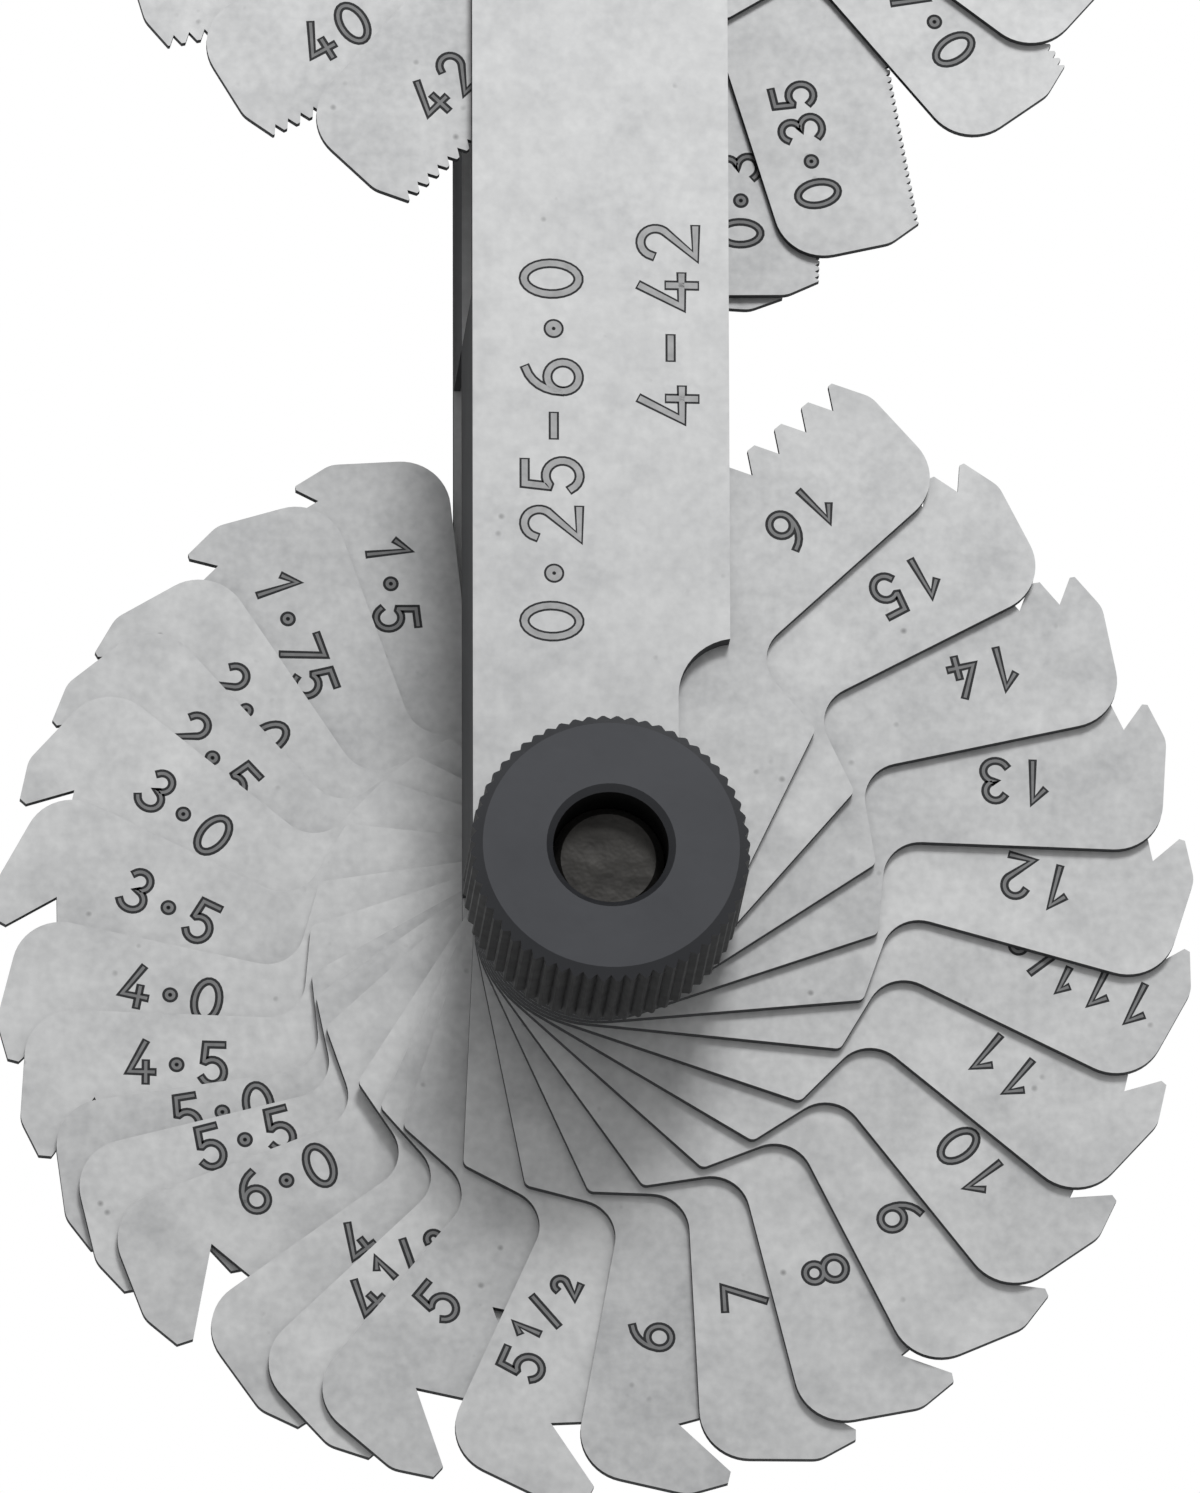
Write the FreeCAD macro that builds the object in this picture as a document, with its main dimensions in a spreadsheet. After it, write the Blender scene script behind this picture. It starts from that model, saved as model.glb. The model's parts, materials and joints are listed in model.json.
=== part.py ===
import FreeCAD, Part
import math
import os
import Sketcher
from FreeCAD import Placement, Rotation, Vector

# Screw pitch gauge with two packs of leaves in one narrow case, in millimetres and degrees.
# +Y runs along the case, +Z out of its front, and Z = 0 is the case's back face, midway between
# the two pivots. The coarse pack turns on the pivot at -Y and the fine pack on the one at +Y.

size = {
    # case
    "pivot_spacing": 56.0,
    "cover_thickness": 0.8,
    "divider_thickness": 0.4,
    "wall_thickness": 0.3,
    "wall_start": 2.0,            # from the pivot's level to the near end of a side wall
    "side_clearance": 0.1,        # folded leaf to side wall
    "thumb_neck": 3.4,            # pivot to the cover's edge where the thumb reaches the leaves
    "thumb_straight": 9.1,        # pivot to where that edge starts to curve out to full width
    "thumb_radius": 2.7,
    # leaves
    "leaf_thickness": 0.4,
    "leaf_clearance": 0.025,      # leaf to leaf, and leaf to plate
    "leaf_half_width": 5.3,
    "shelf_height": 11.2,         # pivot to the thumb corner of the tail
    "shelf_radius": 0.35,
    "neck_x": 1.35,
    "neck_y": 13.05,
    "neck_radius": 1.7,
    "crest_angle": 65.8,          # toothed edge, from the X axis of a folded leaf
    "toothed_length": 11.0,
    "thread_angle": 60.0,
    # head of a coarse leaf
    "coarse_head_x": 5.75,
    "coarse_head_y": 24.4,
    "coarse_crown_x": 1.0,
    "coarse_crown_y": 26.45,
    "coarse_tip_x": -0.85,
    "coarse_tip_y": 26.25,
    # head of a fine leaf, shorter and narrower
    "fine_head_x": 4.6,
    "fine_head_y": 23.5,
    "fine_crown_x": 0.2,
    "fine_crown_y": 25.15,
    "fine_tip_x": -1.4,
    "fine_tip_y": 25.05,
    "head_radius": 2.2,
    "crown_radius": 1.2,
    # pivots
    "stud_radius": 2.5,
    "running_clearance": 0.05,    # radial, stud to everything on it
    "stud_head_depth": 0.6,
    "stud_chamfer": 0.4,
    "spacer_radius": 5.3,
    # knurled nuts
    "nut_radius": 6.15,
    "nut_height": 6.0,
    "nut_seat_gap": 0.03,
    "nut_chamfer": 0.5,
    "bore_chamfer": 0.3,
    "stud_recess": 2.0,           # nut's front face down to the stud's end
    "knurl_count": 60,
    "knurl_depth": 0.22,
    "knurl_half_width": 0.27,
}
tooth_depth_ratio = 0.65          # depth of a V notch over its pitch
notch_overrun_ratio = 0.1         # how far a V notch starts outside the crests, over its pitch
cut_overrun = 1.0                 # how far a cutting outline stands outside the metal
inch = 25.4

# Each leaf: name, pitch in mm, clockwise angle from folded at which it stands open.
# Listed from the front of the stack to the back, first those in front of the divider.
coarse_inch = [
    ("leaf_16_tpi", inch / 16, 25.0),
    ("leaf_15_tpi", inch / 15, 40.0),
    ("leaf_14_tpi", inch / 14, 55.5),
    ("leaf_13_tpi", inch / 13, 70.0),
    ("leaf_12_tpi", inch / 12, 84.0),
    ("leaf_11_5_tpi", inch / 11.5, 95.0),
    ("leaf_11_tpi", inch / 11, 108.5),
    ("leaf_10_tpi", inch / 10, 121.0),
    ("leaf_9_tpi", inch / 9, 132.5),
    ("leaf_8_tpi", inch / 8, 145.0),
    ("leaf_7_tpi", inch / 7, 156.0),
    ("leaf_6_tpi", inch / 6, 169.0),
    ("leaf_5_5_tpi", inch / 5.5, 182.5),
    ("leaf_5_tpi", inch / 5, 197.5),
    ("leaf_4_5_tpi", inch / 4.5, 204.0),
    ("leaf_4_tpi", inch / 4, 211.5),
]
coarse_metric = [
    ("leaf_6_0_mm", 6.0, 226.0),
    ("leaf_5_5_mm", 5.5, 233.5),
    ("leaf_5_0_mm", 5.0, 239.0),
    ("leaf_4_5_mm", 4.5, 250.0),
    ("leaf_4_0_mm", 4.0, 260.5),
    ("leaf_3_5_mm", 3.5, 275.0),
    ("leaf_3_0_mm", 3.0, 288.0),
    ("leaf_2_5_mm", 2.5, 297.0),
    ("leaf_2_0_mm", 2.0, 305.5),
    ("leaf_1_75_mm", 1.75, 319.5),
    ("leaf_1_5_mm", 1.5, 332.5),
]
fine_inch = [
    ("leaf_42_tpi", inch / 42, 23.0),
    ("leaf_40_tpi", inch / 40, 38.5),
    ("leaf_36_tpi", inch / 36, 53.0),
    ("leaf_32_tpi", inch / 32, 67.0),
    ("leaf_30_tpi", inch / 30, 81.0),
    ("leaf_28_tpi", inch / 28, 95.0),
    ("leaf_27_tpi", inch / 27, 109.0),
    ("leaf_26_tpi", inch / 26, 122.0),
    ("leaf_24_tpi", inch / 24, 135.0),
    ("leaf_22_tpi", inch / 22, 148.0),
    ("leaf_20_tpi", inch / 20, 161.0),
    ("leaf_18_tpi", inch / 18, 174.0),
]
fine_metric = [
    ("leaf_1_25_mm", 1.25, 190.0),
    ("leaf_1_0_mm", 1.0, 203.0),
    ("leaf_0_9_mm", 0.9, 216.0),
    ("leaf_0_8_mm", 0.8, 229.0),
    ("leaf_0_75_mm", 0.75, 241.0),
    ("leaf_0_7_mm", 0.7, 253.0),
    ("leaf_0_6_mm", 0.6, 265.0),
    ("leaf_0_5_mm", 0.5, 277.0),
    ("leaf_0_45_mm", 0.45, 290.0),
    ("leaf_0_4_mm", 0.4, 303.0),
    ("leaf_0_35_mm", 0.35, 326.0),
    ("leaf_0_3_mm", 0.3, 338.0),
    ("leaf_0_25_mm", 0.25, 342.0),
]
packs = [
    ("coarse", -1, coarse_inch, coarse_metric),
    ("fine", 1, fine_inch, fine_metric),
]

# sizes that follow from the ones above
slot = size["leaf_thickness"] + size["leaf_clearance"]
upper_slots = max(len(coarse_inch), len(fine_inch))
lower_slots = max(len(coarse_metric), len(fine_metric))
size["upper_layer"] = upper_slots * slot + size["leaf_clearance"]
size["lower_layer"] = lower_slots * slot + size["leaf_clearance"]
size["pivot_y"] = size["pivot_spacing"] / 2
size["wall_inner"] = size["leaf_half_width"] + size["side_clearance"]
size["case_half_width"] = size["wall_inner"] + size["wall_thickness"]
size["wall_end"] = size["pivot_y"] - size["wall_start"]
size["thumb_centre_x"] = size["thumb_neck"] + size["thumb_radius"]
size["thumb_centre_y"] = size["pivot_y"] - size["thumb_straight"]
size["cut_x"] = size["case_half_width"] + cut_overrun
size["cut_y"] = size["pivot_y"] + size["case_half_width"] + cut_overrun
size["hole_radius"] = size["stud_radius"] + size["running_clearance"]
size["stud_head_radius"] = size["stud_radius"] + size["stud_head_depth"]
size["upper_spacer"] = (upper_slots - len(fine_inch)) * slot
size["lower_spacer"] = (lower_slots - len(coarse_metric)) * slot
for head in ("coarse", "fine"):
    rise = (size[head + "_tip_x"] + size["leaf_half_width"]) * math.tan(math.radians(size["crest_angle"]))
    size[head + "_knee_y"] = size[head + "_tip_y"] - rise

# levels of the stack, from the case's back face
lower_floor = size["cover_thickness"]
divider_floor = lower_floor + size["lower_layer"]
upper_floor = divider_floor + size["divider_thickness"]
front_floor = upper_floor + size["upper_layer"]
nut_floor = front_floor + size["cover_thickness"] + size["nut_seat_gap"]
size["stud_length"] = nut_floor + size["nut_height"] - size["stud_recess"]
size["stud_shoulder"] = size["stud_length"] - size["stud_chamfer"]
size["stud_end_radius"] = size["stud_radius"] - size["stud_chamfer"]
size["nut_bore_rim"] = size["hole_radius"] + size["bore_chamfer"]
size["nut_rim"] = size["nut_radius"] - size["nut_chamfer"]
size["nut_shoulder"] = size["nut_height"] - size["nut_chamfer"]
size["nut_bore_top"] = size["nut_height"] - size["bore_chamfer"]
size["knurl_root"] = size["nut_radius"] - size["knurl_depth"]
size["knurl_mouth"] = size["nut_radius"] + size["knurl_depth"]
size["knurl_mouth_half"] = size["knurl_half_width"] * 2

doc = FreeCAD.newDocument("PitchGauge")


def add_sheet(name, values):
    sheet = doc.addObject("Spreadsheet::Sheet", name)
    for row, (alias, value) in enumerate(values.items(), start=1):
        sheet.set(f"A{row}", alias)
        sheet.set(f"B{row}", str(value))
        sheet.setAlias(f"B{row}", alias)
    return sheet


pitches = {}
for leaf_name, leaf_pitch, leaf_angle in coarse_inch + coarse_metric + fine_inch + fine_metric:
    pitches[leaf_name + "_pitch"] = leaf_pitch
add_sheet("Sizes", size)
add_sheet("Leaves", pitches)
doc.recompute()


def number(term):
    """A coordinate's value: 0 for None, a sheet alias, or an alias with a minus sign."""
    if term is None:
        return 0.0
    return -size[term[1:]] if term.startswith("-") else size[term]


def formula(term):
    return "-Sizes." + term[1:] if term.startswith("-") else "Sizes." + term


def origin_plane(body, role):
    return next(feature for feature in body.Origin.OriginFeatures if feature.Role == role)


def new_body(label):
    body = doc.addObject("PartDesign::Body", label)
    body.Label = label
    return body


def new_sketch(body, name, role="XY_Plane"):
    sketch = body.newObject("Sketcher::SketchObject", name)
    sketch.AttachmentSupport = [(origin_plane(body, role), "")]
    sketch.MapMode = "FlatFace"
    return sketch


def bind(sketch, constraint, name, expression):
    index = sketch.addConstraint(constraint)
    sketch.renameConstraint(index, name)
    sketch.setExpression("Constraints." + name, expression)


def pin_corner(sketch, edge, end, corner):
    """Tie one end of an edge to its sheet coordinates, or to an axis where a term is None."""
    along, up = corner
    tag = f"{edge}_{end}"
    if along is None:
        sketch.addConstraint(Sketcher.Constraint("PointOnObject", edge, end, -2))
    else:
        across = Sketcher.Constraint("DistanceX", -1, 1, edge, end, number(along))
        bind(sketch, across, "x" + tag, formula(along))
    if up is None:
        sketch.addConstraint(Sketcher.Constraint("PointOnObject", edge, end, -1))
    else:
        rise = Sketcher.Constraint("DistanceY", -1, 1, edge, end, number(up))
        bind(sketch, rise, "y" + tag, formula(up))


def add_polygon(sketch, corners):
    """A closed outline of straight edges through corners given as pairs of sheet aliases."""
    first = sketch.GeometryCount
    points = [Vector(number(along), number(up), 0) for along, up in corners]
    count = len(points)
    for index in range(count):
        sketch.addGeometry(Part.LineSegment(points[index], points[(index + 1) % count]))
    for index in range(count):
        following = first + (index + 1) % count
        sketch.addConstraint(Sketcher.Constraint("Coincident", first + index, 2, following, 1))
        pin_corner(sketch, first + index, 1, corners[index])


def add_circle(sketch, radius, centre=None):
    """A circle about the origin, about an arc of the sketch, or about a pair of sheet aliases."""
    point = Vector(0, 0, 0)
    if isinstance(centre, int):
        point = sketch.Geometry[centre].Center
    elif centre:
        point = Vector(number(centre[0]), number(centre[1]), 0)
    edge = sketch.addGeometry(Part.Circle(point, Vector(0, 0, 1), number(radius)))
    if isinstance(centre, tuple):
        pin_corner(sketch, edge, 3, centre)
    else:
        about = (-1, 1) if centre is None else (centre, 3)
        sketch.addConstraint(Sketcher.Constraint("Coincident", edge, 3, *about))
    bind(sketch, Sketcher.Constraint("Radius", edge, number(radius)), f"r{edge}", formula(radius))


def add_pad(body, name, sketch, length, reverse=False):
    pad = body.newObject("PartDesign::Pad", name)
    pad.Profile = sketch
    pad.setExpression("Length", length)
    pad.Reversed = reverse
    sketch.Visibility = False
    return pad


def add_cut(body, name, sketch):
    cut = body.newObject("PartDesign::Pocket", name)
    cut.Profile = sketch
    cut.Type = "ThroughAll"
    cut.Midplane = True
    sketch.Visibility = False
    return cut


def add_revolution(body, name, sketch):
    turned = body.newObject("PartDesign::Revolution", name)
    turned.Profile = sketch
    turned.ReferenceAxis = (sketch, ["V_Axis"])
    turned.Angle = 360
    return turned


def upright_edges(shape, corners):
    """Names of the edges that stand along Z at the given corners."""
    names = []
    for index, edge in enumerate(shape.Edges, start=1):
        box = edge.BoundBox
        if box.XLength > 1e-6 or box.YLength > 1e-6:
            continue
        for along, up in corners:
            if abs(box.XMin - number(along)) < 1e-4 and abs(box.YMin - number(up)) < 1e-4:
                names.append(f"Edge{index}")
    return names


def round_corners(body, name, base, corners, radius):
    doc.recompute()
    fillet = body.newObject("PartDesign::Fillet", name)
    fillet.Base = (base, upright_edges(base.Shape, corners))
    fillet.setExpression("Radius", formula(radius))
    return fillet


def make_leaf(label, head):
    """One leaf, folded along +Y about its pivot at the origin, with V notches down its left edge."""
    body = new_body(label)
    outline = new_sketch(body, label + "_outline")
    corners = [
        ("leaf_half_width", None),
        ("leaf_half_width", "shelf_height"),
        ("neck_x", "neck_y"),
        (head + "_head_x", head + "_head_y"),
        (head + "_crown_x", head + "_crown_y"),
        (head + "_tip_x", head + "_tip_y"),
        ("-leaf_half_width", head + "_knee_y"),
        ("-leaf_half_width", None),
    ]
    points = [Vector(number(along), number(up), 0) for along, up in corners]
    for start, end in zip(points, points[1:]):
        outline.addGeometry(Part.LineSegment(start, end))
    last = len(points) - 2
    tail_circle = Part.Circle(Vector(0, 0, 0), Vector(0, 0, 1), size["leaf_half_width"])
    tail = outline.addGeometry(Part.ArcOfCircle(tail_circle, math.pi, 2 * math.pi))
    for edge in range(last):
        outline.addConstraint(Sketcher.Constraint("Coincident", edge, 2, edge + 1, 1))
        pin_corner(outline, edge, 1, corners[edge])
    pin_corner(outline, last, 1, corners[last])
    outline.addConstraint(Sketcher.Constraint("PointOnObject", last, 2, -1))
    outline.addConstraint(Sketcher.Constraint("Coincident", last, 2, tail, 1))
    outline.addConstraint(Sketcher.Constraint("Coincident", tail, 2, 0, 1))
    outline.addConstraint(Sketcher.Constraint("Coincident", tail, 3, -1, 1))
    add_circle(outline, "hole_radius")
    blank = add_pad(body, label + "_blank", outline, "Sizes.leaf_thickness")
    rounds = [("shelf", corners[1]), ("neck", corners[2]), ("head", corners[3]), ("crown", corners[4])]
    for spot, corner in rounds:
        blank = round_corners(body, f"{label}_{spot}", blank, [corner], spot + "_radius")
    add_teeth(body, label, head)
    return body


def add_teeth(body, label, head):
    """V notches of the thread's flank angle, patterned from the tip down the crest line."""
    pitch = pitches[label + "_pitch"]
    depth = pitch * tooth_depth_ratio
    overrun = pitch * notch_overrun_ratio
    half_angle = math.radians(size["thread_angle"] / 2)
    half_mouth = (depth + overrun) * math.tan(half_angle)
    notch = new_sketch(body, label + "_notch")
    # sketch X runs down the crest line from the tip, and sketch Y into the leaf
    tip = Vector(size[head + "_tip_x"], size[head + "_tip_y"], 0)
    turn = Rotation(Vector(0, 0, 1), 180 + size["crest_angle"])
    notch.AttachmentOffset = Placement(tip, turn)
    notch.setExpression("AttachmentOffset.Base.x", f"Sizes.{head}_tip_x")
    notch.setExpression("AttachmentOffset.Base.y", f"Sizes.{head}_tip_y")
    root = Vector(pitch / 2, depth, 0)
    mouth_near = Vector(pitch / 2 - half_mouth, -overrun, 0)
    mouth_far = Vector(pitch / 2 + half_mouth, -overrun, 0)
    for start, end in ((root, mouth_near), (mouth_near, mouth_far), (mouth_far, root)):
        notch.addGeometry(Part.LineSegment(start, end))
    for edge in range(3):
        notch.addConstraint(Sketcher.Constraint("Coincident", edge, 2, (edge + 1) % 3, 1))
    cell = f"Leaves.{label}_pitch"
    at_root = Sketcher.Constraint("DistanceX", -1, 1, 0, 1, root.x)
    bind(notch, at_root, "root_along", f"{cell} / 2")
    deep = Sketcher.Constraint("DistanceY", -1, 1, 0, 1, root.y)
    bind(notch, deep, "root_depth", f"{cell} * {tooth_depth_ratio}")
    outside = Sketcher.Constraint("DistanceY", -1, 1, 1, 1, mouth_near.y)
    bind(notch, outside, "mouth_out", f"-{cell} * {notch_overrun_ratio}")
    notch.addConstraint(Sketcher.Constraint("Horizontal", 1))
    notch.addConstraint(Sketcher.Constraint("Equal", 0, 2))
    flanks = Sketcher.Constraint("Angle", 2, 2, 0, 1, math.radians(size["thread_angle"]))
    bind(notch, flanks, "flank_angle", "Sizes.thread_angle")
    cut = add_cut(body, label + "_notch_cut", notch)
    copies = max(1, int(size["toothed_length"] / pitch + 1e-9))
    if copies == 1:
        body.Tip = cut
        return
    doc.recompute()
    row = body.newObject("PartDesign::LinearPattern", label + "_teeth")
    row.Originals = [cut]
    row.Direction = (notch, ["H_Axis"])
    row.Occurrences = copies
    row.setExpression("Length", f"{cell} * {copies - 1}")
    body.Tip = row


def add_obround(sketch):
    """Strip with a round end and a stud hole about each pivot."""
    right = "case_half_width"
    corners = [(right, "-pivot_y"), (right, "pivot_y"), ("-case_half_width", "pivot_y")]
    corners.append(("-case_half_width", "-pivot_y"))
    points = [Vector(number(along), number(up), 0) for along, up in corners]
    side = sketch.addGeometry(Part.LineSegment(points[0], points[1]))
    far = Part.Circle(Vector(0, size["pivot_y"], 0), Vector(0, 0, 1), size[right])
    top = sketch.addGeometry(Part.ArcOfCircle(far, 0, math.pi))
    back = sketch.addGeometry(Part.LineSegment(points[2], points[3]))
    near = Part.Circle(Vector(0, -size["pivot_y"], 0), Vector(0, 0, 1), size[right])
    bottom = sketch.addGeometry(Part.ArcOfCircle(near, math.pi, 2 * math.pi))
    joins = ((side, 2, top, 1), (top, 2, back, 1), (back, 2, bottom, 1), (bottom, 2, side, 1))
    for first, first_end, second, second_end in joins:
        sketch.addConstraint(Sketcher.Constraint("Tangent", first, first_end, second, second_end))
    for arc, level in ((top, "pivot_y"), (bottom, "-pivot_y")):
        pin_corner(sketch, arc, 3, (None, level))
    sketch.addConstraint(Sketcher.Constraint("Vertical", side))
    width = Sketcher.Constraint("Radius", top, size[right])
    bind(sketch, width, "end_radius", "Sizes.case_half_width")
    for end in (bottom, top):
        add_circle(sketch, "hole_radius", end)


def make_cover(label, layer):
    """Cover with its outer face towards +Z and a side wall per half that reaches down to the divider."""
    body = new_body(label)
    outline = new_sketch(body, label + "_outline")
    add_obround(outline)
    add_pad(body, label + "_plate", outline, "Sizes.cover_thickness")
    walls = new_sketch(body, label + "_walls")
    add_polygon(walls, [
        ("-case_half_width", "-wall_end"), ("-wall_inner", "-wall_end"), ("-wall_inner", None),
        ("-case_half_width", None),
    ])
    add_polygon(walls, [
        ("wall_inner", None), ("case_half_width", None), ("case_half_width", "wall_end"),
        ("wall_inner", "wall_end"),
    ])
    add_pad(body, label + "_side_walls", walls, f"Sizes.{layer}", reverse=True)
    thumb = new_sketch(body, label + "_thumb")
    add_polygon(thumb, [
        ("thumb_neck", "-cut_y"), ("cut_x", "-cut_y"), ("cut_x", "-thumb_centre_y"),
        ("thumb_neck", "-thumb_centre_y"),
    ])
    add_polygon(thumb, [
        ("-thumb_neck", "cut_y"), ("-cut_x", "cut_y"), ("-cut_x", "thumb_centre_y"),
        ("-thumb_neck", "thumb_centre_y"),
    ])
    add_cut(body, label + "_thumb_cut", thumb)
    curve = new_sketch(body, label + "_thumb_curve")
    add_circle(curve, "thumb_radius", ("thumb_centre_x", "-thumb_centre_y"))
    add_circle(curve, "thumb_radius", ("-thumb_centre_x", "thumb_centre_y"))
    return body, add_cut(body, label + "_thumb_curve_cut", curve)


def make_front_cover():
    body, _ = make_cover("front_cover", "upper_layer")
    body.Placement = Placement(Vector(0, 0, front_floor), Rotation())


def make_back_cover():
    body, plate = make_cover("back_cover", "lower_layer")
    doc.recompute()
    rims = []
    for index, edge in enumerate(plate.Shape.Edges, start=1):
        on_face = abs(edge.BoundBox.ZMin - size["cover_thickness"]) < 1e-4 and edge.BoundBox.ZLength < 1e-6
        if on_face and abs(edge.Length - 2 * math.pi * size["hole_radius"]) < 1e-3:
            rims.append(f"Edge{index}")
    countersink = body.newObject("PartDesign::Chamfer", "back_cover_countersinks")
    countersink.Base = (plate, rims)
    countersink.setExpression("Size", "Sizes.stud_head_depth")
    # turned face down, so that its walls stand on the other sides and reach up to the divider
    body.Placement = Placement(Vector(0, 0, lower_floor), Rotation(Vector(0, 1, 0), 180))


def make_divider():
    body = new_body("divider_plate")
    outline = new_sketch(body, "divider_outline")
    add_obround(outline)
    add_pad(body, "divider_strip", outline, "Sizes.divider_thickness")
    body.Placement = Placement(Vector(0, 0, divider_floor), Rotation())


def make_spacer(label, thickness, side, floor):
    body = new_body(label)
    ring = new_sketch(body, label + "_ring")
    add_circle(ring, "spacer_radius")
    add_circle(ring, "hole_radius")
    add_pad(body, label + "_disc", ring, f"Sizes.{thickness}")
    body.Placement = Placement(Vector(0, side * size["pivot_y"], floor), Rotation())


def make_studs():
    """Two studs with countersunk heads in the back cover, as one group."""
    body = new_body("pivot_studs")
    body.AllowCompound = True
    section = new_sketch(body, "stud_section", "XZ_Plane")
    add_polygon(section, [
        (None, None), ("stud_head_radius", None), ("stud_radius", "stud_head_depth"),
        ("stud_radius", "stud_shoulder"), ("stud_end_radius", "stud_length"), (None, "stud_length"),
    ])
    turned = add_revolution(body, "stud", section)
    doc.recompute()
    pair = body.newObject("PartDesign::LinearPattern", "stud_pair")
    pair.Originals = [turned]
    pair.Direction = (origin_plane(body, "Y_Axis"), [""])
    pair.Occurrences = 2
    pair.setExpression("Length", "Sizes.pivot_spacing")
    body.Tip = pair
    body.Placement = Placement(Vector(0, -size["pivot_y"], 0), Rotation())


def make_nut(label, side):
    body = new_body(label)
    section = new_sketch(body, label + "_section", "XZ_Plane")
    add_polygon(section, [
        ("hole_radius", None), ("nut_radius", None), ("nut_radius", "nut_shoulder"),
        ("nut_rim", "nut_height"), ("nut_bore_rim", "nut_height"), ("hole_radius", "nut_bore_top"),
    ])
    add_revolution(body, label + "_blank", section)
    groove = new_sketch(body, label + "_groove")
    add_polygon(groove, [
        ("knurl_root", None), ("knurl_mouth", "-knurl_mouth_half"), ("knurl_mouth", "knurl_mouth_half"),
    ])
    cut = add_cut(body, label + "_groove_cut", groove)
    doc.recompute()
    knurl = body.newObject("PartDesign::PolarPattern", label + "_knurl")
    knurl.Originals = [cut]
    knurl.Axis = (groove, ["N_Axis"])
    knurl.Angle = 360
    knurl.setExpression("Occurrences", "Sizes.knurl_count")
    body.Tip = knurl
    body.Placement = Placement(Vector(0, side * size["pivot_y"], nut_floor), Rotation())


def stack_leaves(leaves, head, side, ceiling):
    """Lay leaves one under the other from the ceiling down, each opened by its own angle."""
    folded = 0 if side < 0 else 180
    for index, (label, _, angle) in enumerate(leaves):
        leaf = make_leaf(label, head)
        level = ceiling - (index + 1) * slot
        turn = Rotation(Vector(0, 0, 1), folded - angle)
        leaf.Placement = Placement(Vector(0, side * size["pivot_y"], level), turn)


make_back_cover()
make_divider()
make_front_cover()
make_studs()
make_spacer("upper_spacer", "upper_spacer", 1, upper_floor)
make_spacer("lower_spacer", "lower_spacer", -1, lower_floor)
make_nut("coarse_nut", -1)
make_nut("fine_nut", 1)
for pack_head, pack_side, inch_leaves, metric_leaves in packs:
    stack_leaves(inch_leaves, pack_head, pack_side, front_floor)
    stack_leaves(metric_leaves, pack_head, pack_side, divider_floor)
doc.recompute()

for item in doc.Objects:
    if "Invalid" in item.State or "Error" in item.State:
        raise SystemExit(f"{item.Label} failed: {item.State}")
bodies = [item for item in doc.Objects if item.TypeId == "PartDesign::Body"]
for item in bodies:
    if item.Shape.isNull() or not item.Shape.isValid():
        raise SystemExit(f"{item.Label} has no valid shape")

os.makedirs("parts", exist_ok=True)
for item in bodies:
    item.Shape.exportStep(os.path.join("parts", item.Label + ".step"))
print(f"{len(bodies)} parts, {sum(len(item.Shape.Solids) for item in bodies)} solids")
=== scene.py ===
import json
import math
import bpy
from mathutils import Matrix, Vector


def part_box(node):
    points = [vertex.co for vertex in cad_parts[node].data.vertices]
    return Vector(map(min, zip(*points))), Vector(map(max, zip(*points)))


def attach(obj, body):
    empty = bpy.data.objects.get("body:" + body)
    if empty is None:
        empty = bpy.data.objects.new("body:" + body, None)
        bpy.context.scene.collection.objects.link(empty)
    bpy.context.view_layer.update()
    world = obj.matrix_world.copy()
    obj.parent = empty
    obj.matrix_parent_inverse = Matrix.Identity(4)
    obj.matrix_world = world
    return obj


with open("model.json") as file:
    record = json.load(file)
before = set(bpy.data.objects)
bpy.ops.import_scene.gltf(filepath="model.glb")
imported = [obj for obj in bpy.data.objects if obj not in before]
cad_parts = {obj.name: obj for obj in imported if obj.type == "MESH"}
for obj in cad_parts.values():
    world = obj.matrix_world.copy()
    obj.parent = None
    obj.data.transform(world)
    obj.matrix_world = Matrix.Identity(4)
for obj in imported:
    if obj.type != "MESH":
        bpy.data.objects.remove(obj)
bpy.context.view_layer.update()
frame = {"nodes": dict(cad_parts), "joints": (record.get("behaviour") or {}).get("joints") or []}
print("frame:", len(frame["nodes"]), "nodes")

mm = 0.001


# Camera: above the coarse end, a little in front of it and to its left

view = {
    "tilt": 18.9, "turn": -4.0, "lean": 1.15,
    "distance": 1200.0, "aim": (-0.22, -22.08, 16.4),
    "lens": 656.7, "sensor": 36.0, "nearest": 0.01,
}


def addCamera():
    turn = Matrix.Rotation(math.radians(view["lean"]), 3, "Z")
    turn = turn @ Matrix.Rotation(math.radians(view["tilt"]), 3, "X")
    turn = turn @ Matrix.Rotation(math.radians(view["turn"]), 3, "Y")
    data = bpy.data.cameras.new("camera")
    data.lens = view["lens"]
    data.sensor_width = view["sensor"]
    data.clip_start = view["nearest"]
    camera = bpy.data.objects.new("camera", data)
    bpy.context.collection.objects.link(camera)
    camera.location = (Vector(view["aim"]) + turn @ Vector((0, 0, view["distance"]))) * mm
    camera.rotation_euler = turn.to_euler()
    bpy.context.scene.camera = camera


addCamera()
print("camera set")


# Shader nodes written as expressions

class Value:
    # one output socket; arithmetic on it adds Math nodes
    def __init__(self, shade, socket):
        self.shade = shade
        self.socket = socket

    def combine(self, operation, first, second):
        return self.shade.node("Math", {"operation": operation}, {0: first, 1: second})

    def __add__(self, other):
        return self.combine("ADD", self, other)

    def __radd__(self, other):
        return self.combine("ADD", other, self)

    def __sub__(self, other):
        return self.combine("SUBTRACT", self, other)

    def __rsub__(self, other):
        return self.combine("SUBTRACT", other, self)

    def __mul__(self, other):
        return self.combine("MULTIPLY", self, other)

    def __rmul__(self, other):
        return self.combine("MULTIPLY", other, self)


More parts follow.
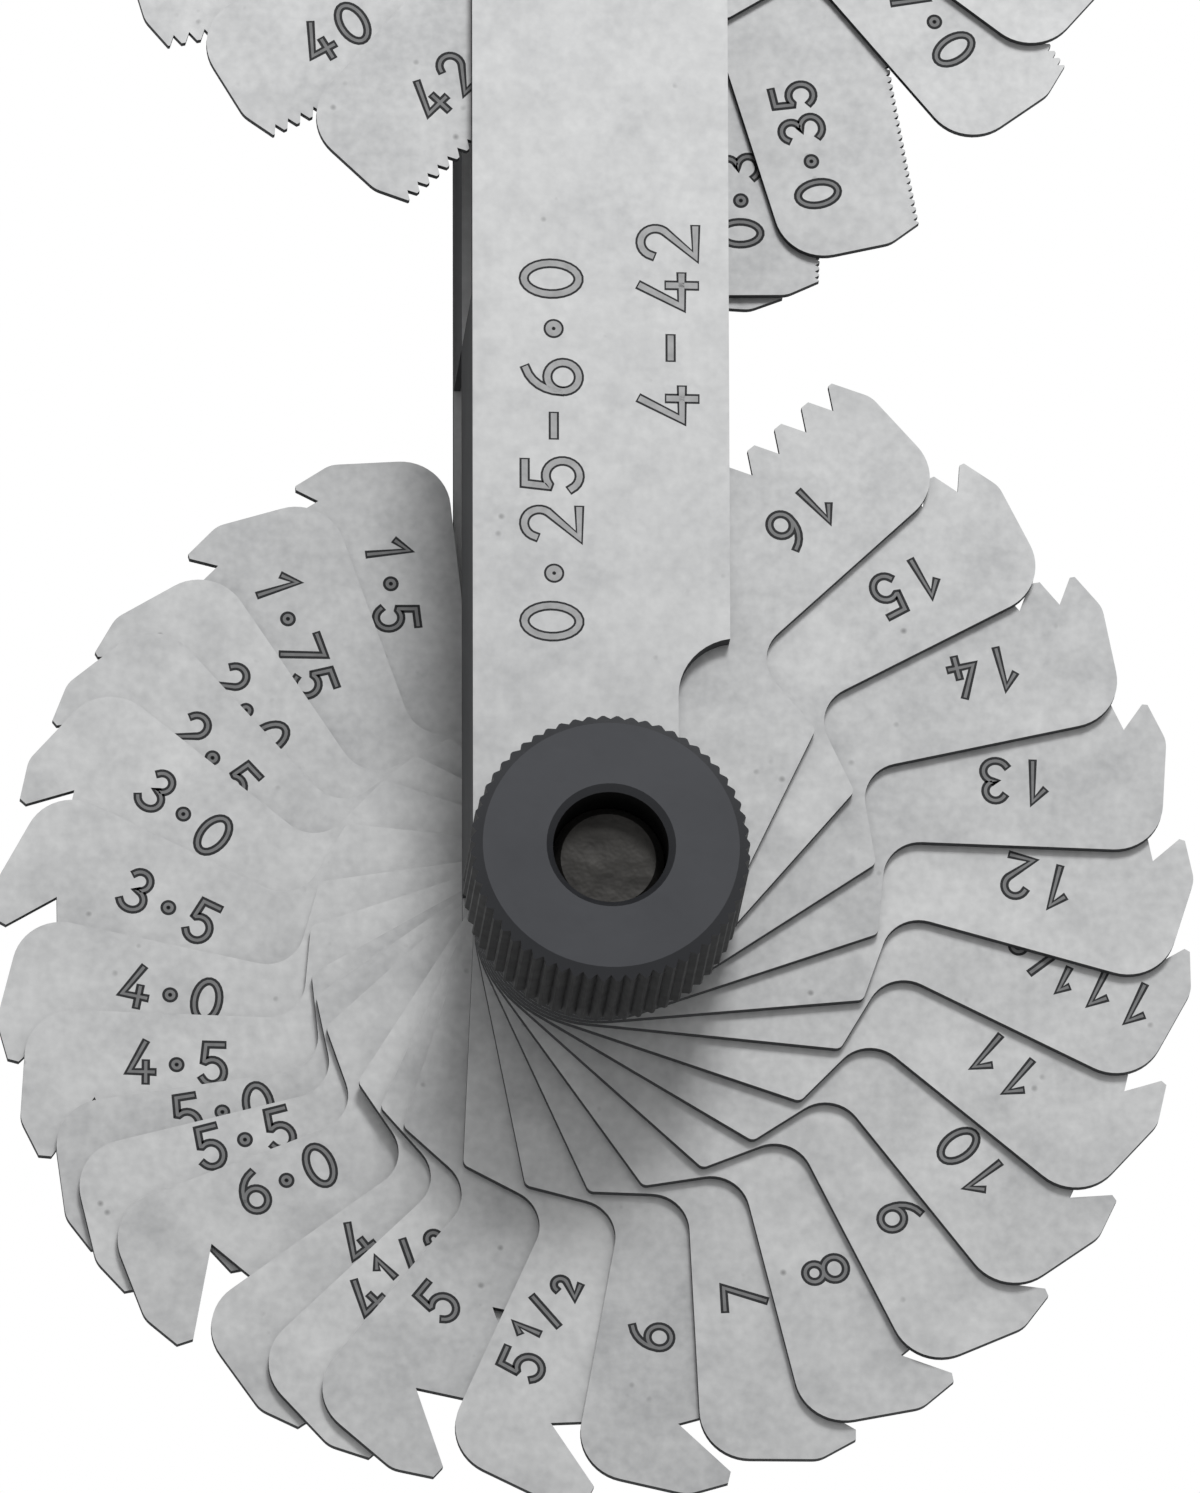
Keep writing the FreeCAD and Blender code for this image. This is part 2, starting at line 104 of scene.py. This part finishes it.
class Shade:
    # the nodes of a material or of the world
    def __init__(self, owner):
        owner.use_nodes = True
        self.owner = owner
        self.tree = owner.node_tree
        self.tree.nodes.clear()

    def node(self, kind, settings=None, values=None, output=0):
        made = self.tree.nodes.new("ShaderNode" + kind)
        for key, setting in (settings or {}).items():
            if key == "stops":
                self.setStops(made.color_ramp.elements, setting)
            else:
                setattr(made, key, setting)
        for key, value in (values or {}).items():
            if isinstance(value, Value):
                self.tree.links.new(value.socket, made.inputs[key])
            else:
                made.inputs[key].default_value = value
        return Value(self, made.outputs[output]) if made.outputs else None

    def setStops(self, elements, stops):
        while len(elements) < len(stops):
            elements.new(0.5)
        for element, (place, level) in zip(elements, stops):
            element.position = place
            element.color = (level, level, level, 1)

    def place(self):
        return self.node("TexCoord", output="Object")

    def noise(self, where, scale, detail, rough):
        values = {"Vector": where, "Scale": scale, "Detail": detail, "Roughness": rough}
        return self.node("TexNoise", {}, values)

    def ramp(self, value, stops):
        return self.node("ValToRGB", {"stops": stops}, {"Fac": value})

    def blend(self, factor, first, second):
        # from the first colour at 0 to the second at 1; either is a socket or three numbers
        ends = [end if isinstance(end, Value) else (*end, 1) for end in (first, second)]
        return self.node("Mix", {"data_type": "RGBA"}, {"Factor": factor, 6: ends[0], 7: ends[1]}, output=2)

    def bump(self, height, strength, distance):
        return self.node("Bump", {}, {"Strength": strength, "Distance": distance, "Height": height})

    def upward(self):
        # how far a face looks up: 1 on a front, 0 on an edge
        normal = self.node("NewGeometry", output="Normal")
        return self.node("SeparateXYZ", {}, {0: normal}, output=2)

    def finish(self, inputs):
        bsdf = self.node("BsdfPrincipled", {}, inputs)
        self.node("OutputMaterial", {}, {"Surface": bsdf})
        return self.owner


# Steel of the case and of the leaves: satin sheet with a cloudy rolled grain, pits and handling marks, with
# painted shade on the edges and side faces
# A noise is given as its scale, detail and roughness.

steel = {
    "leafDark": (0.40, 0.405, 0.41), "leafLight": (0.66, 0.665, 0.665),
    "caseDark": (0.43, 0.435, 0.44), "caseLight": (0.65, 0.655, 0.655),
    # the edge colour is painted shade: edges and side faces are painted near black in place of their shadow
    "edge": (0.055, 0.057, 0.06), "edgeStops": [(0.45, 1.0), (0.75, 0.0)],
    "clouds": (150.0, 4.0, 0.6), "cloudShare": 1.3,
    "blotches": (420.0, 3.0, 0.55), "blotchShare": 0.8,
    "grain": (2400.0, 2.0, 0.5), "grainShare": 0.6,
    "pit": (0.12, 0.12, 0.12), "pitScale": 900.0, "pitStops": [(0.05, 1.0), (0.16, 0.0)], "pitShare": 0.6,
    "rarity": (360.0, 1.0, 0.5), "rarityStops": [(0.60, 0.0), (0.68, 1.0)],
    "pieceShift": (3.0, 7.0, 1.0), "pieceShare": 0.3,
    "relief": {"clouds": 0.6, "grain": 0.4, "pits": 0.8, "strength": 0.10, "distance": 0.00002},
    "metallic": 0.55, "roughness": 0.46, "cloudRoughness": 0.2, "edgeRoughness": 0.15,
}


def steelShade(name, dark, light, perPiece):
    shade = Shade(bpy.data.materials.new(name))
    where = shade.place()
    if perPiece:  # each leaf gets its own part of the pattern
        own = shade.node("ObjectInfo", output="Random")
        along, across, deep = steel["pieceShift"]
        shift = shade.node("CombineXYZ", {}, {0: own * along, 1: own * across, 2: own * deep})
        where = shade.node("VectorMath", {"operation": "ADD"}, {0: where, 1: shift})
    clouds = shade.noise(where, *steel["clouds"])
    blotches = shade.noise(where, *steel["blotches"])
    grain = shade.noise(where, *steel["grain"])
    cells = shade.node("TexVoronoi", {}, {"Vector": where, "Scale": steel["pitScale"]}, output="Distance")
    rarity = shade.noise(where, *steel["rarity"])
    pits = shade.ramp(cells, steel["pitStops"]) * shade.ramp(rarity, steel["rarityStops"])

    tone = 0.5 + (clouds - 0.5) * steel["cloudShare"] + (blotches - 0.5) * steel["blotchShare"]
    tone = tone + (grain - 0.5) * steel["grainShare"]
    if perPiece:
        tone = tone + (own - 0.5) * steel["pieceShare"]
    # painted shade: the less a face looks up, the nearer black it is painted
    flat = shade.node("Math", {"operation": "ABSOLUTE"}, {0: shade.upward()})
    edge = shade.ramp(flat, steel["edgeStops"])
    colour = shade.blend(tone, dark, light)
    colour = shade.blend(pits * steel["pitShare"], colour, steel["pit"])
    # painted shade over the edges and side faces
    colour = shade.blend(edge, colour, steel["edge"])

    relief = steel["relief"]
    height = clouds * relief["clouds"] + grain * relief["grain"] - pits * relief["pits"]
    roughness = steel["roughness"] + (clouds - 0.5) * steel["cloudRoughness"] + edge * steel["edgeRoughness"]
    return shade.finish({
        "Base Color": colour, "Metallic": steel["metallic"], "Roughness": roughness,
        "Normal": shade.bump(height, relief["strength"], relief["distance"]),
    })


leafSteel = steelShade("leafSteel", steel["leafDark"], steel["leafLight"], True)
caseSteel = steelShade("caseSteel", steel["caseDark"], steel["caseLight"], False)


# Black oxide of the nuts, with painted shade making their knurled sides near black

oxide = {
    # the side colour is painted shade on the knurled sides
    "dark": (0.034, 0.036, 0.042), "light": (0.064, 0.067, 0.076), "side": (0.002, 0.0022, 0.0026),
    "clouds": (260.0, 3.0, 0.5), "cloudShare": 0.7, "specks": (1500.0, 2.0, 0.5), "speckShare": 0.3,
    "sideShadeStops": [(0.3, 1.0), (0.9, 0.0)], "strength": 0.15, "distance": 0.00002,
    "metallic": 0.3, "roughness": 0.42, "speckRoughness": 0.2,
}


def oxideShade():
    shade = Shade(bpy.data.materials.new("blackOxide"))
    where = shade.place()
    clouds = shade.noise(where, *oxide["clouds"])
    specks = shade.noise(where, *oxide["specks"])
    tone = clouds * oxide["cloudShare"] + specks * oxide["speckShare"]
    # painted shade: faces that do not look up take the near-black side colour
    side = shade.ramp(shade.upward(), oxide["sideShadeStops"])
    return shade.finish({
        "Base Color": shade.blend(side, shade.blend(tone, oxide["dark"], oxide["light"]), oxide["side"]),
        "Metallic": oxide["metallic"],
        "Roughness": oxide["roughness"] + (specks - 0.5) * oxide["speckRoughness"],
        "Normal": shade.bump(specks, oxide["strength"], oxide["distance"]),
    })


# Rough peened ends of the studs

peened = {
    "dark": (0.022, 0.021, 0.020), "light": (0.070, 0.067, 0.062), "clouds": (700.0, 3.0, 0.5),
    "strength": 0.8, "distance": 0.0002, "metallic": 0.6, "roughness": 0.5,
}


def studShade():
    shade = Shade(bpy.data.materials.new("studEnd"))
    clouds = shade.noise(shade.place(), *peened["clouds"])
    return shade.finish({
        "Base Color": shade.blend(clouds, peened["dark"], peened["light"]),
        "Metallic": peened["metallic"], "Roughness": peened["roughness"],
        "Normal": shade.bump(clouds, peened["strength"], peened["distance"]),
    })


# Edges and floors of the engraved figures; the dark edge is painted shade of the groove walls

engraving = {"mottle": (2200.0, 2.0, 0.5), "low": 0.7, "high": 1.3, "metallic": 0.3}


def engravingShade(name, colour, roughness):
    shade = Shade(bpy.data.materials.new(name))
    mottle = shade.noise(shade.place(), *engraving["mottle"])
    low = tuple(channel * engraving["low"] for channel in colour)
    high = tuple(channel * engraving["high"] for channel in colour)
    return shade.finish({
        "Base Color": shade.blend(mottle, low, high),
        "Metallic": engraving["metallic"], "Roughness": roughness,
    })


blackOxide = oxideShade()
studEnd = studShade()
# painted shade: the dark rim stands for the shaded walls of the groove
engraveWallShade = engravingShade("engraveWallShade", (0.022, 0.023, 0.025), 0.6)
leafFloor = engravingShade("leafFloor", (0.20, 0.202, 0.205), 0.5)
caseFloor = engravingShade("caseFloor", (0.40, 0.403, 0.406), 0.5)

for nodeName, node in frame["nodes"].items():
    if nodeName.startswith("leaf_"):
        chosen = leafSteel
    elif nodeName.endswith("_nut"):
        chosen = blackOxide
    elif nodeName == "pivot_studs":
        chosen = studEnd
    else:
        chosen = caseSteel
    for slot in node.material_slots:
        slot.material = chosen
print("finishes on")


# Engraved figures: single strokes in a cell one unit high, each a dark rim of painted groove-wall shade with
# a paler floor

stroke = {
    "arcStep": 14, "arcLeast": 6, "glyphWidth": 0.62, "mitre": 1.6, "endReach": 0.35,
    "lift": 0.004, "stagger": 0.0006,
}


def arc(x, y, wide, high, start, end):
    count = max(stroke["arcLeast"], int(abs(end - start) / stroke["arcStep"]))
    turns = [math.radians(start + (end - start) * step / count) for step in range(count + 1)]
    return [(x + wide * math.cos(turn), y + high * math.sin(turn)) for turn in turns]


glyphs = {
    "0": [arc(0.32, 0.5, 0.28, 0.47, 90, 450)],
    "1": [[(0.10, 0.70), (0.36, 0.97), (0.36, 0.03)]],
    "2": [arc(0.31, 0.71, 0.25, 0.26, 165, -35) + [(0.06, 0.03), (0.58, 0.03)]],
    "3": [arc(0.28, 0.74, 0.23, 0.23, 150, -85) + arc(0.28, 0.27, 0.28, 0.25, 80, -150)],
    "4": [[(0.40, 0.97), (0.04, 0.27), (0.60, 0.27)], [(0.42, 0.50), (0.42, 0.03)]],
    "5": [[(0.54, 0.96), (0.14, 0.96), (0.10, 0.56)] + arc(0.29, 0.31, 0.27, 0.29, 125, -150)],
    "6": [arc(0.60, 0.34, 0.55, 0.62, 105, 180), arc(0.31, 0.30, 0.26, 0.27, 175, -185)],
    "7": [[(0.05, 0.96), (0.58, 0.96), (0.24, 0.03)]],
    "8": [arc(0.31, 0.75, 0.21, 0.21, -90, 270), arc(0.31, 0.28, 0.27, 0.26, 90, 450)],
    "9": [arc(0.02, 0.66, 0.55, 0.62, -75, 0), arc(0.31, 0.70, 0.26, 0.27, -5, 355)],
    ".": [arc(0.30, 0.46, 0.085, 0.085, 0, 360)],
    "-": [[(0.12, 0.46), (0.50, 0.46)]],
    "/": [[(0.02, 0.02), (0.50, 0.98)]],
    " ": [],
}


def ribbon(points, width, closed):
    # left and right rails of a stroke, with mitred joints and a square end just past each end point
    count = len(points)
    rails = []
    for index, point in enumerate(points):
        before = points[(index - 1) % count] if closed or index > 0 else None
        after = points[(index + 1) % count] if closed or index < count - 1 else None
        along = [(second - first).normalized() for first, second in ((before, point), (point, after))
                 if first is not None and second is not None]
        ahead = sum(along, Vector((0, 0))).normalized()
        reach = 1.0
        middle = point
        if len(along) == 2:
            reach = 1 / max(1 / stroke["mitre"], along[0].dot(ahead))
        else:
            overrun = ahead * width * stroke["endReach"]
            middle = point - overrun if before is None else point + overrun
        side = Vector((-ahead.y, ahead.x)) * width / 2 * reach
        rails.append((middle + side, middle - side))
    return rails


def traceMarks(marks, height, advance, width, level):
    # vertices and faces of a row of marks, each given as a glyph, its size and its rise
    verts, faces = [], []
    cursor = 0.0
    for glyph, size, rise in marks:
        for line in glyphs[glyph]:
            level += stroke["stagger"] / len(marks)  # so that strokes that cross share no plane
            points = [Vector((cursor + x * height * size, (y * size + rise) * height)) for x, y in line]
            closed = (points[0] - points[-1]).length < 1e-6
            if closed:
                points = points[:-1]
            first = len(verts)
            for rails in ribbon(points, width, closed):
                verts += [(rail.x, rail.y, level) for rail in rails]
            count = len(points)
            for step in range(count if closed else count - 1):
                here, there = first + 2 * step, first + 2 * ((step + 1) % count)
                faces.append((here, here + 1, there + 1, there))
        cursor += advance * size
    return verts, faces


def addFigures(name, marks, body, place, level, advance, style):
    # marks read along place's X axis from its origin; style holds the widths of groove and floor
    verts, faces, kinds = [], [], []
    for kind, width in enumerate(style["widths"]):
        lifted = level + stroke["lift"] * (kind + 1)
        rowVerts, rowFaces = traceMarks(marks, style["height"], advance, width, lifted)
        faces += [tuple(len(verts) + corner for corner in face) for face in rowFaces]
        kinds += [kind] * len(rowFaces)
        verts += rowVerts
    mesh = bpy.data.meshes.new(name)
    mesh.from_pydata([tuple((place @ Vector(vert)) * mm) for vert in verts], [], faces)
    # first the painted groove-wall shade, then the floor
    mesh.materials.append(engraveWallShade)
    mesh.materials.append(style["floor"])
    for face, kind in zip(mesh.polygons, kinds):
        face.material_index = kind
    mesh.update()
    figures = bpy.data.objects.new(name, mesh)
    bpy.context.collection.objects.link(figures)
    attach(figures, body)


# Leaf figures: on each leaf they read from the tip towards the pivot, along the edge behind the teeth
# Places are on a folded leaf with its pivot at the origin, in mm.

leafMarks = {
    "height": 1.95, "widths": (0.38, 0.14), "floor": leafFloor, "slot": "leaf_steel",
    "slope": 69.5, "inchAdvance": 1.8, "metricAdvance": 1.6,
    "inchCentre": (0.9, 19.4), "metricCentre": (1.2, 19.0), "fineShift": -1.0,
    "half": [("1", 0.6, 0.42), ("/", 0.8, 0.1), ("2", 0.6, 0.0)],
}
# how far single figures stand off that centre
leafNudge = {
    "leaf_16_tpi": (-0.3, 0.5), "leaf_15_tpi": (0.0, 0.7), "leaf_14_tpi": (-0.3, 0.9),
    "leaf_13_tpi": (-0.3, 0.0), "leaf_12_tpi": (-0.4, 0.1), "leaf_11_5_tpi": (0.0, 2.2),
    "leaf_11_tpi": (-0.2, -0.2), "leaf_10_tpi": (0.1, 0.5), "leaf_9_tpi": (0.0, -0.4),
    "leaf_8_tpi": (0.0, -0.5), "leaf_7_tpi": (0.1, -1.0), "leaf_6_tpi": (0.3, -0.4),
    "leaf_5_5_tpi": (0.8, -0.8), "leaf_5_tpi": (0.5, -0.9), "leaf_4_5_tpi": (0.7, -1.5),
    "leaf_4_tpi": (0.5, -1.8), "leaf_6_0_mm": (0.2, -1.6), "leaf_5_5_mm": (0.6, -1.3),
    "leaf_5_0_mm": (0.6, -1.1), "leaf_4_0_mm": (-0.1, -0.4), "leaf_3_5_mm": (-0.6, -0.3),
    "leaf_3_0_mm": (-0.3, 0.1), "leaf_2_5_mm": (-0.2, 0.1), "leaf_2_0_mm": (-0.2, 0.2),
    "leaf_1_75_mm": (-0.8, 1.3), "leaf_1_5_mm": (-0.3, 1.2), "leaf_42_tpi": (-0.6, 0.0),
    "leaf_40_tpi": (-0.4, 0.1), "leaf_0_35_mm": (0.6, 0.2), "leaf_0_3_mm": (0.3, 1.2),
}


def marksOf(leafName):
    # leaf_1_75_mm reads 1.75, leaf_11_tpi reads 11, and leaf_5_5_tpi reads 5 and a small half
    parts = leafName.split("_")[1:-1]
    metric = leafName.endswith("_mm")
    marks = [(glyph, 1.0, 0.0) for glyph in (".".join(parts) if metric else parts[0])]
    if not metric and len(parts) == 2:
        marks += leafMarks["half"]
    return marks


def addLeafFigures(leafName, pivot, limits):
    # a leaf stands open clockwise from folded, an inch leaf short of a half turn and a metric one past it
    metric = leafName.endswith("_mm")
    fine = pivot.y > 0
    turned = 360 + limits[0] if metric else limits[1]
    marks = marksOf(leafName)
    advance = leafMarks["metricAdvance" if metric else "inchAdvance"]
    height = leafMarks["height"]
    length = advance * sum(size for glyph, size, rise in marks) - advance + stroke["glyphWidth"] * height
    x, y = leafMarks["metricCentre" if metric else "inchCentre"]
    if fine:
        x += leafMarks["fineShift"]
    across, along = leafNudge.get(leafName, (0.0, 0.0))
    reading = Matrix.Rotation(math.radians(leafMarks["slope"] + 180), 3, "Z")
    start = Vector((x + across, y + along, 0)) + reading @ Vector((-length / 2, -height / 2, 0))
    swing = Matrix.Rotation(math.radians((180 if fine else 0) - turned), 3, "Z")
    origin = swing @ start + Vector((pivot.x, pivot.y, 0)) / mm
    place = Matrix.Translation(origin) @ (swing @ reading).to_4x4()
    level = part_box(leafName)[1].z / mm
    addFigures("figures_" + leafName[5:], marks, leafName, place, level, advance, leafMarks)


for joint in frame["joints"]:
    if joint["child"].startswith("leaf_"):
        addLeafFigures(joint["child"], Vector(joint["pos_m"]), joint["range_deg"])
print("leaf figures cut")


# Case figures: the two ranges of pitches, reading up the front cover

caseMarks = {
    "height": 2.6, "widths": (0.46, 0.27), "floor": caseFloor, "slot": "satin_steel",
    "advance": 2.3, "gap": 0.16, "rows": [("0.25-6.0", (-0.9, -16.4)), ("4 - 42", (4.3, -6.1))],
}


def addCaseFigures():
    upward = Matrix.Rotation(math.radians(90), 3, "Z").to_4x4()
    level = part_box("front_cover")[1].z / mm
    for index, (text, (x, y)) in enumerate(caseMarks["rows"]):
        marks = [(glyph, caseMarks["gap"] if glyph == " " else 1.0, 0.0) for glyph in text]
        place = Matrix.Translation(Vector((x, y, 0))) @ upward
        addFigures(f"figures_case_{index + 1}", marks, "case", place, level, caseMarks["advance"], caseMarks)


addCaseFigures()
print("case figures cut")


# Studio: table that is white to the camera, one soft lamp from beyond the fine end, pale surroundings

studio = {
    "floorSize": 3.0, "floorDrop": 0.0002, "floorColour": (0.8, 0.8, 0.8),
    "keyPlace": (0.06, 0.27, 0.39), "keySize": 0.12, "keyPower": 0.62,
    "sky": 0.53, "white": 1.0,
}


def addFloor():
    half, level = studio["floorSize"] / 2, -studio["floorDrop"]
    corners = [(-half, -half, level), (half, -half, level), (half, half, level), (-half, half, level)]
    mesh = bpy.data.meshes.new("floor")
    mesh.from_pydata(corners, [], [(0, 1, 2, 3)])
    floor = bpy.data.objects.new("floor", mesh)
    bpy.context.collection.objects.link(floor)
    shade = Shade(bpy.data.materials.new("floor"))
    seen = shade.node("LightPath", output="Is Camera Ray")
    white = shade.node("Emission", {}, {"Color": (1, 1, 1, 1), "Strength": studio["white"]})
    paper = shade.node("BsdfDiffuse", {}, {"Color": (*studio["floorColour"], 1)})
    both = shade.node("MixShader", {}, {0: seen, 1: paper, 2: white})
    shade.node("OutputMaterial", {}, {"Surface": both})
    mesh.materials.append(shade.owner)


def addLamp():
    data = bpy.data.lights.new("key", "AREA")
    data.size = studio["keySize"]
    data.energy = studio["keyPower"]
    lamp = bpy.data.objects.new("key", data)
    bpy.context.collection.objects.link(lamp)
    lamp.location = studio["keyPlace"]
    lamp.rotation_euler = (-lamp.location).to_track_quat("-Z", "Y").to_euler()


def addSky():
    bpy.context.scene.world = bpy.data.worlds.new("sky")
    shade = Shade(bpy.context.scene.world)
    seen = shade.node("LightPath", output="Is Camera Ray")
    level = shade.node("Mix", {}, {0: seen, 2: studio["sky"], 3: studio["white"]})
    background = shade.node("Background", {}, {"Color": (1, 1, 1, 1), "Strength": level})
    shade.node("OutputWorld", {}, {"Surface": background})


addFloor()
addLamp()
addSky()
bpy.context.scene.view_settings.view_transform = "Standard"
print("studio lit")
